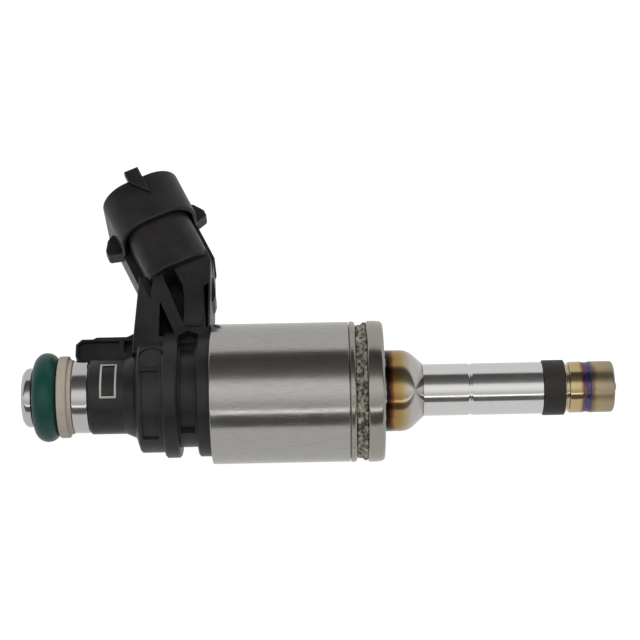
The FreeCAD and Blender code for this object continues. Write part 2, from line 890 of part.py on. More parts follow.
def valve_seat():
    """Tip cup: ball guide, seat cone, sac, spray holes and dome."""
    half = tip_weld_width / 2
    cap_r = (dome_r ** 2 + dome_height ** 2) / (2 * dome_height)
    apex = ball_x + ball_r * math.sqrt(2) + seat_gap
    sac_x = apex - sac_r
    corner = []
    for n in range(5):
        turn = math.pi / 2 * n / 4
        corner.append((nozzle_length - tip_corner * (1 - math.sin(turn)),
                       head_r - tip_corner * (1 - math.cos(turn))))
    cup = turned([
        (joint_x - spigot_length, seat_bore_r),
        (joint_x - spigot_length, tube_bore_r),
        (joint_x, tube_bore_r),
        (joint_x, head_r - tip_weld_root),
        (joint_x + half, head_r - tip_weld_root),
        (joint_x + half, head_r),
    ] + corner + [
        (nozzle_length, 0),
        (sac_x + sac_depth, 0),
        (sac_x + sac_depth, sac_r),
        (sac_x, sac_r),
        (apex - seat_bore_r, seat_bore_r),
    ])
    ball = Part.makeSphere(cap_r, V(nozzle_length + dome_height - cap_r, 0, 0))
    dome = ball.common(rod(nozzle_length - 0.3, nozzle_length + 2, dome_r))
    body = cup.fuse(dome)
    a = math.radians(spray_angle)
    drills = []
    for n in range(spray_holes):
        turn = 2 * math.pi * n / spray_holes
        way = V(math.cos(a), math.sin(a) * math.cos(turn), math.sin(a) * math.sin(turn))
        drills.append(Part.makeCylinder(spray_r, 4.0, V(sac_x - 0.1, 0, 0), way))
    return body.cut(drills).removeSplitter()


def guide_ring():
    body = ring(guide_x, guide_x + guide_length, needle_r + running_play, tube_bore_r)
    flow_ring_r = (needle_r + tube_bore_r) / 2
    return body.cut(holes_round(guide_holes, flow_ring_r, guide_hole_r,
                                guide_x, guide_x + guide_length))


def needle():
    return rod(needle_top, ball_flat_x, needle_r)


def needle_ball():
    ball = Part.makeSphere(ball_r, V(ball_x, 0, 0))
    return ball.cut(rod(ball_x - 2 * ball_r, ball_flat_x, 2 * ball_r))


def stop_ring():
    return ring(needle_top, stop_ring_foot, needle_r, stop_ring_r)


def stop_sleeve():
    return ring(armature_foot, armature_foot + stop_sleeve_length, needle_r, stop_sleeve_r)


def armature():
    outer = pole_r - armature_play
    body = turned([
        (armature_top, armature_pocket_r),
        (armature_top, outer),
        (armature_foot, outer),
        (armature_foot, needle_r + running_play),
        (armature_top + armature_pocket_depth, needle_r + running_play),
        (armature_top + armature_pocket_depth, armature_pocket_r),
    ])
    return body.cut(holes_round(armature_holes, armature_hole_ring_r, armature_hole_r,
                                armature_top, armature_foot))


def closing_spring():
    return coil_spring(adjuster_end, needle_top, closing_coil_r, closing_wire_r, closing_pitch)


def armature_spring():
    return coil_spring(stop_ring_foot, armature_top + armature_pocket_depth,
                       armature_coil_r, armature_wire_r, armature_pitch)


# ---------------------------------------------------------------- build and write
strips = [terminal(blade_z), terminal(-blade_z)]
solids = {
    "inlet_tube": inlet_tube(),
    "inlet_filter": inlet_filter(),
    "adjusting_sleeve": adjusting_sleeve(),
    "closing_spring": closing_spring(),
    "rail_o_ring": rail_o_ring(),
    "backup_ring": backup_ring(),
    "connector_housing": connector_housing(strips),
    "terminal_upper": strips[0],
    "terminal_lower": strips[1],
    "solenoid_housing": solenoid_housing(),
    "cover_washer": cover_washer(),
    "coil_bobbin": coil_bobbin(strips),
    "coil_winding": coil_winding(),
    "valve_sleeve": valve_sleeve(),
    "inner_pole": inner_pole(),
    "spacer_ring": spacer_ring(),
    "housing_weld": housing_weld(),
    "valve_body": valve_body(),
    "nozzle_tube": nozzle_tube(),
    "combustion_seal": combustion_seal(),
    "valve_seat": valve_seat(),
    "tip_weld": tip_weld(),
    "guide_ring": guide_ring(),
    "needle": needle(),
    "needle_ball": needle_ball(),
    "stop_ring": stop_ring(),
    "stop_sleeve": stop_sleeve(),
    "armature": armature(),
    "armature_spring": armature_spring(),
}

os.makedirs("parts", exist_ok=True)
for name, shape in solids.items():
    found = shape.Solids
    if len(found) != 1:
        raise ValueError(name + " has " + str(len(found)) + " solids")
    if not found[0].isValid():
        raise ValueError(name + " is not valid")
    found[0].exportStep(os.path.join("parts", name + ".step"))
    print(name, round(found[0].Volume, 2))
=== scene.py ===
"""Visual model of a solenoid fuel injector lying on its side on a pale studio floor.

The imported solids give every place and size. Turned pieces are worked out again here as fine
surfaces of revolution about the X axis, and the two springs as wires along helices. The other
pieces keep their solids. Every piece gets a procedural finish.
"""
from __future__ import annotations

import logging
import math
from dataclasses import dataclass
from enum import Enum

import bmesh
import bpy
import numpy as np
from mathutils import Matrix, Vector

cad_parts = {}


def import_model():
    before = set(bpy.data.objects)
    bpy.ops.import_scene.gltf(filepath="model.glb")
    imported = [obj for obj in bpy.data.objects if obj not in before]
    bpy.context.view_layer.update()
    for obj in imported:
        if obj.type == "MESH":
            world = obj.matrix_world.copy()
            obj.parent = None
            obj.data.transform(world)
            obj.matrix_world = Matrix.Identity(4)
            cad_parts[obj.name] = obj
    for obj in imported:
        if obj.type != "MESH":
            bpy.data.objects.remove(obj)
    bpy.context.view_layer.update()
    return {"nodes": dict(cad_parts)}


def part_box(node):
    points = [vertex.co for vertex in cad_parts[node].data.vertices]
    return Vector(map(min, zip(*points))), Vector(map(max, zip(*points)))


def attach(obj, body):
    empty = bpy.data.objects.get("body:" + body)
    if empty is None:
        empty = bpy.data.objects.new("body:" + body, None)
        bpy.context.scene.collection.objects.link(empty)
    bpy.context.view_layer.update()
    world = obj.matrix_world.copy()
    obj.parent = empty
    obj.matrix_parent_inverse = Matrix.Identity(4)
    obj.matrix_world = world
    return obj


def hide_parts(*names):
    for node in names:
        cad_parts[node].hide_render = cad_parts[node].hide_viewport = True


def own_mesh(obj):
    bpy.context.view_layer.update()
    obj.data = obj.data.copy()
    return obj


MM = 0.001
FINE = 256  # points round the larger turned pieces
SEAM = 0.1  # gap left between an outline's two ends, which its last run closes
LOG = logging.getLogger("injector")
Outline = list[tuple[float, float]]
Colour = tuple[float, float, float]
Grain = tuple[float, float, float]
Stops = tuple[tuple[float, Colour], ...]


# ------------------------------------------------------------------ surfaces
def rounded(outline: Outline, radius: float, steps: int = 5) -> np.ndarray:
    """Rounds the inner corners of an open outline.

    Each corner becomes a quadratic curve that leaves and meets its two runs at equal distances
    from the corner, at most 45% of the shorter run.

    Args:
        outline: (x, r) points in millimetres.
        radius: distance from a corner to where its curve starts.
        steps: number of runs in each corner's curve.

    Returns:
        An array of (x, r) rows.
    """
    p = np.array(outline, float)
    before, at, after = p[:-2], p[1:-1], p[2:]
    back, ahead = before - at, after - at
    back_len = np.linalg.norm(back, axis=1, keepdims=True)
    ahead_len = np.linalg.norm(ahead, axis=1, keepdims=True)
    most = 0.45
    cut = np.minimum(radius, most * np.minimum(back_len, ahead_len))
    start = at + back / back_len * cut
    end = at + ahead / ahead_len * cut
    s = np.linspace(0, 1, steps + 1)[None, :, None]
    curve = (1 - s) ** 2 * start[:, None] + 2 * s * (1 - s) * at[:, None] + s ** 2 * end[:, None]
    return np.vstack([p[:1], curve.reshape(-1, 2), p[-1:]])


def subdivided(outline: np.ndarray, longest: float) -> np.ndarray:
    """Adds evenly spaced points so that no run of an outline is longer than a limit.

    Args:
        outline: rows of (x, r).
        longest: the limit in millimetres.

    Returns:
        The finer outline.
    """
    runs = np.linalg.norm(np.diff(outline, axis=0), axis=1)
    counts = np.maximum(1, np.ceil(runs / longest).astype(int))
    place = np.concatenate([np.arange(n) / n + i for i, n in enumerate(counts)] + [[len(runs)]])
    index = np.arange(len(outline))
    return np.stack([np.interp(place, index, outline[:, 0]),
                     np.interp(place, index, outline[:, 1])], axis=1)


def ripple(rows: int, columns: int, seed: int, smooth: tuple[float, float]) -> np.ndarray:
    """Seeded random relief on a grid, smoothed with a Gaussian and seamless both ways.

    Args:
        rows: points along the piece.
        columns: points round the piece.
        seed: the random seed.
        smooth: the Gaussian's width in rows and in columns.

    Returns:
        A grid of heights with a standard deviation of 1.
    """
    noise = np.random.default_rng(seed).standard_normal((rows, columns))
    fu, fv = np.fft.fftfreq(rows)[:, None], np.fft.fftfreq(columns)[None, :]
    blur = np.exp(-2 * math.pi ** 2 * ((fu * smooth[0]) ** 2 + (fv * smooth[1]) ** 2))
    out = np.fft.ifft2(np.fft.fft2(noise) * blur).real
    return out / out.std()


def enclosed(corners: np.ndarray) -> float:
    """Volume inside a closed surface, positive when its faces point outwards.

    Each quad is two triangles, and each triangle adds a sixth of the product a . (b x c).

    Args:
        corners: quads x 4 x 3.

    Returns:
        The signed volume.
    """
    a, b, c, d = (corners[:, k] for k in range(4))
    return float(np.sum(a * np.cross(b, c)) + np.sum(a * np.cross(c, d))) / 6


def grid_piece(name: str, points: np.ndarray, closed_along: bool = False) -> bpy.types.Object:
    """Makes a mesh object from a grid of points that is closed round its second index.

    Args:
        name: the piece's name.
        points: rows x columns x 3 in millimetres.
        closed_along: whether the last row joins the first.

    Returns:
        The object, smooth shaded.
    """
    rows, columns = points.shape[:2]
    last = rows if closed_along else rows - 1
    i = np.arange(last)[:, None]
    j = np.arange(columns)[None, :]
    below, right = (i + 1) % rows, (j + 1) % columns
    quads = np.stack([i * columns + j, below * columns + j,
                      below * columns + right, i * columns + right], axis=-1).reshape(-1, 4)
    if enclosed(points.reshape(-1, 3)[quads]) < 0:
        quads = quads[:, ::-1]
    mesh = bpy.data.meshes.new(name)
    mesh.vertices.add(rows * columns)
    mesh.vertices.foreach_set("co", (points * MM).astype(np.float32).ravel())
    mesh.loops.add(quads.size)
    mesh.loops.foreach_set("vertex_index", quads.astype(np.int32).ravel())
    mesh.polygons.add(len(quads))
    mesh.polygons.foreach_set("loop_start", np.arange(0, quads.size, 4, dtype=np.int32))
    mesh.update(calc_edges=True)
    mesh.validate()
    mesh.shade_smooth()
    piece = bpy.data.objects.new(name, mesh)
    bpy.context.scene.collection.objects.link(piece)
    return piece


def lathe(name: str, outline: np.ndarray, columns: int = 192,
          relief: np.ndarray | None = None) -> bpy.types.Object:
    """Turns an outline about the X axis: (x, r) becomes (x, r cos a, r sin a) round the circle.

    Args:
        name: the piece's name.
        outline: rows of (x, r), going round the section either way; the end joins the start.
        columns: points round the circle.
        relief: heights in millimetres to add to r, on the grid of rows x columns.

    Returns:
        The object.
    """
    turn = np.linspace(0, 2 * math.pi, columns, endpoint=False)
    x = np.repeat(outline[:, :1], columns, axis=1)
    r = np.repeat(outline[:, 1:], columns, axis=1)
    if relief is not None:
        r = r + relief
    points = np.stack([x, r * np.cos(turn), r * np.sin(turn)], axis=-1)
    return grid_piece(name, points, closed_along=True)


def helix_piece(name: str, span: tuple[float, float], coil_r: float, wire_r: float,
                pitch: float) -> bpy.types.Object:
    """A wire carried along a helix about the X axis, with flat closed ends.

    At turn s the wire's centre is (start + pitch s, R sin 2 pi s, -R cos 2 pi s). Its circle lies
    across the helix, and one row of no radius at each end closes it.

    Args:
        name: the piece's name.
        span: where the wire starts and ends along X.
        coil_r: the coil's middle radius R.
        wire_r: the wire's radius.
        pitch: how far one turn goes along X.

    Returns:
        The object.
    """
    rows_per_turn, round_wire = 36, 16
    turns = (span[1] - span[0] - 2 * wire_r) / pitch
    s = np.linspace(0, turns, int(turns * rows_per_turn))
    s = np.concatenate([s[:1], s, s[-1:]])
    thick = np.full((len(s), 1, 1), wire_r)
    thick[[0, -1]] = 0.0
    a = 2 * math.pi * s
    zero = np.zeros_like(a)
    out = np.stack([zero, np.sin(a), -np.cos(a)], axis=1)
    run = np.stack([zero + pitch / (2 * math.pi), coil_r * np.cos(a), coil_r * np.sin(a)], axis=1)
    run /= np.linalg.norm(run, axis=1, keepdims=True)
    side = np.cross(out, run)
    centre = np.stack([span[0] + wire_r + pitch * s, zero, zero], axis=1) + coil_r * out
    b = np.linspace(0, 2 * math.pi, round_wire, endpoint=False)[None, :, None]
    points = centre[:, None] + thick * (np.cos(b) * out[:, None] + np.sin(b) * side[:, None])
    piece = grid_piece(name, points)
    work = bmesh.new()
    work.from_mesh(piece.data)
    bmesh.ops.remove_doubles(work, verts=work.verts, dist=1e-9)
    bmesh.ops.recalc_face_normals(work, faces=work.faces)
    work.to_mesh(piece.data)
    work.free()
    return piece


# ------------------------------------------------------------------ finishes
class Nodes:
    """A node tree, with short ways to add and join nodes."""

    def __init__(self, tree: bpy.types.NodeTree, coordinates: str) -> None:
        """Starts with the coordinates that the patterns stand on."""
        self.tree = tree
        self.place = self.put("ShaderNodeTexCoord").outputs[coordinates]

    def put(self, kind: str, **settings: object) -> bpy.types.Node:
        """Adds a node and sets its properties."""
        node = self.tree.nodes.new(kind)
        for key, value in settings.items():
            setattr(node, key, value)
        return node

    def join(self, source: bpy.types.NodeSocket, target: bpy.types.NodeSocket) -> None:
        """Links two sockets."""
        self.tree.links.new(source, target)

    def stretched(self, grain: Grain) -> bpy.types.NodeSocket:
        """The coordinates multiplied by a grain."""
        node = self.put("ShaderNodeMapping")
        node.inputs["Scale"].default_value = grain
        self.join(self.place, node.inputs["Vector"])
        return node.outputs["Vector"]

    def noise(self, grain: Grain, detail: float = 2.0,
              rough: float = 0.5) -> bpy.types.NodeSocket:
        """Noise of a grain, with finer layers whose number and strength are detail and rough."""
        node = self.put("ShaderNodeTexNoise")
        node.inputs["Scale"].default_value = 1.0
        node.inputs["Detail"].default_value = detail
        node.inputs["Roughness"].default_value = rough
        self.join(self.stretched(grain), node.inputs["Vector"])
        return node.outputs["Fac"]

    def math(self, operation: str, a: object, b: object) -> bpy.types.NodeSocket:
        """One arithmetic node on two sockets or numbers."""
        node = self.put("ShaderNodeMath", operation=operation)
        for value, socket in zip((a, b), node.inputs):
            if isinstance(value, bpy.types.NodeSocket):
                self.join(value, socket)
            else:
                socket.default_value = value
        return node.outputs["Value"]

    def span(self, value: bpy.types.NodeSocket, low: float, high: float,
             to_low: float = 0.0, to_high: float = 1.0) -> bpy.types.NodeSocket:
        """Maps a value from one range to another, clamped."""
        node = self.put("ShaderNodeMapRange")
        self.join(value, node.inputs["Value"])
        for key, number in (("From Min", low), ("From Max", high),
                            ("To Min", to_low), ("To Max", to_high)):
            node.inputs[key].default_value = number
        return node.outputs["Result"]

    def ramp(self, value: bpy.types.NodeSocket, stops: Stops) -> bpy.types.NodeSocket:
        """Colours along a value from 0 to 1."""
        node = self.put("ShaderNodeValToRGB")
        line = node.color_ramp.elements
        while len(line) < len(stops):
            line.new(0.5)
        for element, (where, colour) in zip(line, stops):
            element.position = where
            element.color = (*colour, 1.0)
        self.join(value, node.inputs["Fac"])
        return node.outputs["Color"]

    def bump(self, height: bpy.types.NodeSocket, depth: float,
             below: bpy.types.NodeSocket | None = None) -> bpy.types.NodeSocket:
        """Relief of a depth in millimetres, on top of another relief if one is given."""
        node = self.put("ShaderNodeBump")
        node.inputs["Strength"].default_value = 1.0
        node.inputs["Distance"].default_value = depth * MM
        self.join(height, node.inputs["Height"])
        if below is not None:
            self.join(below, node.inputs["Normal"])
        return node.outputs["Normal"]

    def along(self, start: float, end: float, waver: float) -> bpy.types.NodeSocket:
        """How far a point is from start to end along X, from 0 to 1, shaken by noise.

        Args:
            start: where the result is 0, in millimetres.
            end: where it is 1, in millimetres.
            waver: how far the whole range of the noise shifts it, in millimetres.

        Returns:
            The result, clamped.
        """
        mean, grain = 0.5, (500, 500, 500)
        split = self.put("ShaderNodeSeparateXYZ")
        self.join(self.place, split.inputs["Vector"])
        shake = self.math("SUBTRACT", self.noise(grain), mean)
        shake = self.math("MULTIPLY", shake, waver * MM)
        where = self.math("ADD", split.outputs["X"], shake)
        return self.span(where, start * MM, end * MM)


class Surface(Nodes):
    """A material's node tree, with its Principled shader."""

    def __init__(self, name: str) -> None:
        """Starts a material whose patterns stand on object coordinates."""
        self.material = bpy.data.materials.new(name)
        self.material.use_nodes = True
        super().__init__(self.material.node_tree, "Object")
        self.shader = self.tree.nodes["Principled BSDF"]

    def give(self, name: str, value: object) -> None:
        """Joins a socket to one of the shader's inputs, or sets the input to a value."""
        target = self.shader.inputs[name]
        if isinstance(value, bpy.types.NodeSocket):
            self.join(value, target)
        else:
            target.default_value = value


# A grain says how many cells of noise stand in a metre along X, Y and Z. Reliefs are depths in
# millimetres. Most of a noise lies in the middle half of its range.
MIDDLE_HALF = (0.25, 0.75)


@dataclass(frozen=True)
class TurnedSteel:
    """Bare steel with fine marks of turning round the axis."""

    name: str
    colour: Colour
    roughness: float
    spread: float = 0.1
    marks: float = 0.0012
    scuffs: float = 0.0
    grain: float = 9000.0
    mottle: float = 0.0
    scratches: float = 0.0
    round_grain: float = 60.0
    line_share: float = 0.6
    patch_grain: Grain = (260, 260, 260)
    scuff_grain: Grain = (900, 2600, 2600)
    scratch_grain: Grain = (260, 5200, 5200)
    scratch_levels: tuple[float, float] = (0.56, 0.66)
    speck_grain: Grain = (500, 3200, 3200)
    speck_levels: tuple[float, float] = (0.36, 0.5)

    def build(self) -> bpy.types.Material:
        """Makes the material."""
        n = Surface(self.name)
        n.give("Base Color", (*self.colour, 1))
        n.give("Metallic", 1.0)
        lines = n.noise((self.grain, self.round_grain, self.round_grain), detail=3.0, rough=0.6)
        patches = n.noise(self.patch_grain, detail=3.0)
        least = self.roughness - self.spread / 2
        rough = n.math("ADD", n.math("MULTIPLY", patches, self.spread), least)
        streaks = n.math("MULTIPLY", lines, self.spread * self.line_share)
        n.give("Roughness", n.math("ADD", streaks, rough))
        relief = n.bump(lines, self.marks)
        if self.scuffs:
            relief = n.bump(n.noise(self.scuff_grain, detail=4.0, rough=0.65), self.scuffs, relief)
        if self.scratches:
            rare = n.span(n.noise(self.scratch_grain, detail=5.0, rough=0.7), *self.scratch_levels)
            relief = n.bump(rare, self.scratches, relief)
        if self.mottle:
            dull = tuple(c * (1 - self.mottle) for c in self.colour)
            specks = n.noise(self.speck_grain, detail=6.0, rough=0.75)
            shades = tuple(zip(self.speck_levels, (dull, self.colour)))
            n.give("Base Color", n.ramp(specks, shades))
        n.give("Normal", relief)
        return n.material


@dataclass(frozen=True)
class TintedSteel:
    """Steel coloured by heat, with the colours set along the axis."""

    name: str
    start: float
    end: float
    stops: Stops
    roughness: float
    waver: float
    marks: float = 0.0012
    smoother: float = 0.06
    rougher: float = 0.08
    patch_grain: Grain = (420, 420, 420)
    line_grain: Grain = (8000, 80, 80)
    pit_grain: Grain = (2200, 2200, 2200)
    pits: float = 0.002

    def build(self) -> bpy.types.Material:
        """Makes the material."""
        n = Surface(self.name)
        n.give("Base Color", n.ramp(n.along(self.start, self.end, self.waver), self.stops))
        n.give("Metallic", 1.0)
        patches = n.noise(self.patch_grain, detail=4.0)
        n.give("Roughness", n.span(patches, *MIDDLE_HALF, self.roughness - self.smoother,
                                   self.roughness + self.rougher))
        relief = n.bump(n.noise(self.line_grain, detail=3.0), self.marks)
        relief = n.bump(n.noise(self.pit_grain, detail=3.0), self.pits, relief)
        n.give("Normal", relief)
        return n.material


@dataclass(frozen=True)
class Moulded:
    """Moulded plastic or rubber with a fine grain and slight changes of shade."""

    name: str
    dark: Colour
    light: Colour
    roughness: float
    spread: float = 0.12
    grain: float = 6000.0
    depth: float = 0.004
    specular: float = 0.5
    cloud_grain: Grain = (180, 180, 180)
    cloud_levels: tuple[float, float] = (0.3, 0.7)
    patch_grain: Grain = (700, 700, 700)
    wave_grain: Grain = (260, 260, 260)
    waves: float = 0.03

    def build(self) -> bpy.types.Material:
        """Makes the material."""
        n = Surface(self.name)
        shades = tuple(zip(self.cloud_levels, (self.dark, self.light)))
        n.give("Base Color", n.ramp(n.noise(self.cloud_grain, detail=4.0, rough=0.6), shades))
        n.give("Specular IOR Level", self.specular)
        half = self.spread / 2
        n.give("Roughness", n.span(n.noise(self.patch_grain, detail=3.0), *MIDDLE_HALF,
                                   self.roughness - half, self.roughness + half))
        relief = n.bump(n.noise((self.grain,) * 3, detail=2.0), self.depth)
        relief = n.bump(n.noise(self.wave_grain, detail=2.0), self.waves, relief)
        n.give("Normal", relief)
        return n.material


@dataclass(frozen=True)
class RoughWeld:
    """Weld metal with a crystalline, speckled surface."""

    name: str
    low: Colour = (0.022, 0.022, 0.017)
    high: Colour = (0.4, 0.39, 0.32)
    levels: tuple[float, float, float] = (0.3, 0.5, 0.72)
    cell_grain: Grain = (1500, 1500, 1500)
    cell_share: float = 0.55
    speck_grain: Grain = (900, 900, 900)
    speck_share: float = 0.62
    metallic: float = 0.85
    rough_levels: tuple[float, float] = (0.3, 0.8)
    roughness: tuple[float, float] = (0.65, 0.28)
    depth: float = 0.12

    def build(self) -> bpy.types.Material:
        """Makes the material."""
        n = Surface(self.name)
        cells = n.put("ShaderNodeTexVoronoi")
        cells.inputs["Scale"].default_value = 1.0
        n.join(n.stretched(self.cell_grain), cells.inputs["Vector"])
        grains = n.math("MULTIPLY", cells.outputs["Distance"], self.cell_share)
        specks = n.noise(self.speck_grain, detail=6.0, rough=0.75)
        mix = n.math("ADD", grains, n.math("MULTIPLY", specks, self.speck_share))
        middle = tuple((a + b) / 3 for a, b in zip(self.low, self.high))
        shades = tuple(zip(self.levels, (self.low, middle, self.high)))
        n.give("Base Color", n.ramp(mix, shades))
        n.give("Metallic", self.metallic)
        n.give("Roughness", n.span(mix, *self.rough_levels, *self.roughness))
        n.give("Normal", n.bump(mix, self.depth))
        return n.material


class Finish(Enum):
    """Every finish on the injector."""

    POLISHED = TurnedSteel("polished_steel", (0.6, 0.59, 0.575), roughness=0.1, spread=0.06,
                           marks=0.0004)
    HOUSING = TurnedSteel("housing_steel", (0.47, 0.455, 0.435), roughness=0.12, marks=0.0008,
                          scuffs=0.0014, grain=7000.0, mottle=0.12, scratches=0.0016)
    LABEL = Moulded("label_ink", (0.16, 0.155, 0.14), (0.27, 0.26, 0.235), roughness=0.6,
                    spread=0.1, grain=9000.0, depth=0.002)
    FLANGE = TurnedSteel("flange_steel", (0.4, 0.38, 0.34), roughness=0.15, marks=0.0016,
                         scuffs=0.0015, mottle=0.3)
    INNER = TurnedSteel("inner_steel", (0.55, 0.55, 0.54), roughness=0.22, marks=0.001)
    MAGNETIC = TurnedSteel("magnetic_steel", (0.42, 0.42, 0.42), roughness=0.3, marks=0.0015)
    SPRING = TurnedSteel("spring_steel", (0.4, 0.4, 0.42), roughness=0.25, spread=0.08,
                         marks=0.0008)
    CONTACT = TurnedSteel("contact_metal", (0.72, 0.6, 0.4), roughness=0.22, spread=0.08,
                          marks=0.0006)
    COPPER = TurnedSteel("copper_wire", (0.72, 0.3, 0.14), roughness=0.3, marks=0.02, grain=2600.0)
    WELD = RoughWeld("weld_metal")
    BLACK = Moulded("black_plastic", (0.0065, 0.006, 0.0062), (0.014, 0.0125, 0.0131),
                    roughness=0.37, spread=0.14, specular=0.28)
    BOBBIN = Moulded("bobbin_plastic", (0.04, 0.04, 0.04), (0.055, 0.055, 0.055), roughness=0.5,
                     spread=0.1)
    GREY = Moulded("grey_plastic", (0.19, 0.16, 0.13), (0.26, 0.225, 0.185), roughness=0.5,
                   grain=3000.0, depth=0.006)
    RUBBER = Moulded("green_rubber", (0.0015, 0.024, 0.019), (0.003, 0.034, 0.028), roughness=0.34,
                     spread=0.1, grain=4000.0, depth=0.003, specular=0.3)
    SEAL = Moulded("seal_ptfe", (0.009, 0.0075, 0.0065), (0.017, 0.0145, 0.012), roughness=0.5,
                   grain=5000.0, specular=0.35)


# ------------------------------------------------------------------ sub-assemblies
@dataclass
class Kit:
    """What every sub-assembly needs: the frame's nodes and the finished materials."""

    nodes: dict[str, bpy.types.Object]
    materials: dict[str, bpy.types.Material]

    def material(self, finish: Finish) -> bpy.types.Material:
        """The material of a finish, made when it is first used."""
        if finish.name not in self.materials:
            self.materials[finish.name] = finish.value.build()
        return self.materials[finish.name]

    def dress(self, piece: bpy.types.Object, material: bpy.types.Material) -> None:
        """Gives a piece one material in all its slots."""
        if not piece.material_slots:
            piece.data.materials.append(material)
        for held in piece.material_slots:
            held.material = material

    def place(self, piece: bpy.types.Object, node: str, slot: str,
              material: bpy.types.Material, body: str = "injector") -> None:
        """Dresses a new piece, lets it ride and stand for a node, and reports it.

        Args:
            piece: the new piece.
            node: the node that it replaces.
            slot: not used.
            material: its finish.
            body: the body that it rides on.
        """
        self.dress(piece, material)
        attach(piece, body)
        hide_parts(node)
        LOG.info("%s stands for %s with %d faces", piece.name, node, len(piece.data.polygons))


@dataclass
class InletEnd:
    """Steel inlet tube with its O-ring and backup ring."""

    kit: Kit
    tip: float = -53.2
    collar_r: float = 4.375
    collar_end: float = -51.6
    groove_r: float = 2.9
    shoulder: float = -45.75
    tube_r: float = 5.375
    mould_x: float = -43.3
    neck_r: float = 4.4
    sleeve_x: float = -21.0
    pole_r: float = 4.6
    end: float = -19.2
    bore_r: float = 1.8
    ring_x: float = -49.65
    ring_r: float = 1.85
    backup_x: float = -47.8
    backup_step: float = -46.4
    backup_r: float = 6.05
    backup_step_r: float = 5.5
    chamfer: float = 0.6
    mouth: float = 0.75
    corner: float = 0.3
    ring_corner: float = 0.2
    line_depth: float = 0.006
    line_angle: float = 0.1
    line_width: float = 0.04
    cord_points: int = 96

    def build(self) -> None:
        """Builds and dresses the pieces."""
        outline = rounded([
            (self.end, self.bore_r), (self.tip + self.mouth, self.bore_r),
            (self.tip, self.bore_r + self.mouth),
            (self.tip, self.collar_r - self.chamfer), (self.tip + self.chamfer, self.collar_r),
            (self.collar_end, self.collar_r),
            (self.collar_end, self.groove_r), (self.shoulder, self.groove_r),
            (self.shoulder, self.tube_r), (self.mould_x, self.tube_r), (self.mould_x, self.neck_r),
            (self.sleeve_x, self.neck_r), (self.sleeve_x, self.pole_r), (self.end, self.pole_r),
        ], self.corner)
        self.kit.place(lathe("inlet_tube_turned", outline), "inlet_tube", "polished_steel",
                       self.kit.material(Finish.POLISHED))
        self.kit.place(self.o_ring(), "rail_o_ring", "green_rubber",
                       self.kit.material(Finish.RUBBER))
        self.kit.place(self.backup_ring(), "backup_ring", "grey_plastic",
                       self.kit.material(Finish.GREY))
        self.kit.dress(self.kit.nodes["inlet_filter"], self.kit.material(Finish.INNER))

    def o_ring(self) -> bpy.types.Object:
        """A torus: a circle of the cord's radius, carried round the axis.

        A faint mould line runs outside and inside, with a shallow groove on both sides of it. At
        the angle v from the line the groove takes depth exp(-((v - angle) / width)^2) of the
        cord's radius.
        """
        a = np.linspace(0, -2 * math.pi, self.cord_points, endpoint=False)
        from_line = np.abs((a + math.pi / 2) % math.pi - math.pi / 2)
        groove = np.exp(-((from_line - self.line_angle) / self.line_width) ** 2)
        r = self.ring_r * (1 - self.line_depth * groove)
        middle = self.groove_r + self.ring_r
        outline = np.stack([self.ring_x + r * np.sin(a), middle + r * np.cos(a)], axis=1)
        return lathe("rail_o_ring_rubber", outline, FINE)

    def backup_ring(self) -> bpy.types.Object:
        """The stepped ring with rounded edges, drawn from the middle of its bore."""
        middle = (self.backup_x + self.shoulder) / 2
        outline = rounded([
            (middle, self.groove_r), (self.backup_x, self.groove_r), (self.backup_x, self.backup_r),
            (self.backup_step, self.backup_r), (self.backup_step, self.backup_step_r),
            (self.shoulder, self.backup_step_r), (self.shoulder, self.groove_r),
            (middle + SEAM, self.groove_r),
        ], self.ring_corner)
        return lathe("backup_ring_stepped", outline, FINE)


@dataclass
class Moulding:
    """Black moulding with the connector, the two blades in it and the outline on its collar.

    The moulding and the blades keep their solids.
    """

    kit: Kit
    frame_x: float = -41.5
    frame_end: float = -39.0
    frame_angle: float = 29.0
    frame_line: float = 0.35
    frame_r: float = 5.75
    frame_ink: float = 0.012
    frame_inset: float = 0.02
    frame_root: float = 0.05
    side_points: int = 40

    def outline(self) -> bpy.types.Object:
        """The worn light outline: a thin band on the raised frame, bent round the collar.

        Each corner point is (x, angle); along the band the angle a stands at (x, r sin a, r cos a).
        The four loops are the band's outer and inner edges, sunk in the frame and above it.
        """
        turn = math.radians(self.frame_angle)
        steps = np.linspace(0, 1, self.side_points, endpoint=False)
        outer, inner = self.frame_inset, self.frame_line - self.frame_inset
        root, top = self.frame_r - self.frame_root, self.frame_r + self.frame_ink
        loops = []
        for inset, r in ((outer, root), (outer, top), (inner, top), (inner, root)):
            x0, x1 = self.frame_x + inset, self.frame_end - inset
            a = turn - inset / self.frame_r
            corners = np.array([(x0, -a), (x1, -a), (x1, a), (x0, a), (x0, -a)])
            place = np.concatenate([steps + side for side in range(4)])
            x = np.interp(place, range(5), corners[:, 0])
            angle = np.interp(place, range(5), corners[:, 1])
            loops.append(np.stack([x, r * np.sin(angle), r * np.cos(angle)], axis=1))
        return grid_piece("label_outline", np.stack(loops), closed_along=True)

    def build(self) -> None:
        """Builds the outline, and dresses it, the moulding and the blades."""
        outline = self.outline()
        self.kit.dress(outline, self.kit.material(Finish.LABEL))
        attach(outline, "injector")
        LOG.info("%s added with %d faces", outline.name, len(outline.data.polygons))
        self.kit.dress(self.kit.nodes["connector_housing"], self.kit.material(Finish.BLACK))
        for name in ("terminal_upper", "terminal_lower"):
            self.kit.dress(self.kit.nodes[name], self.kit.material(Finish.CONTACT))


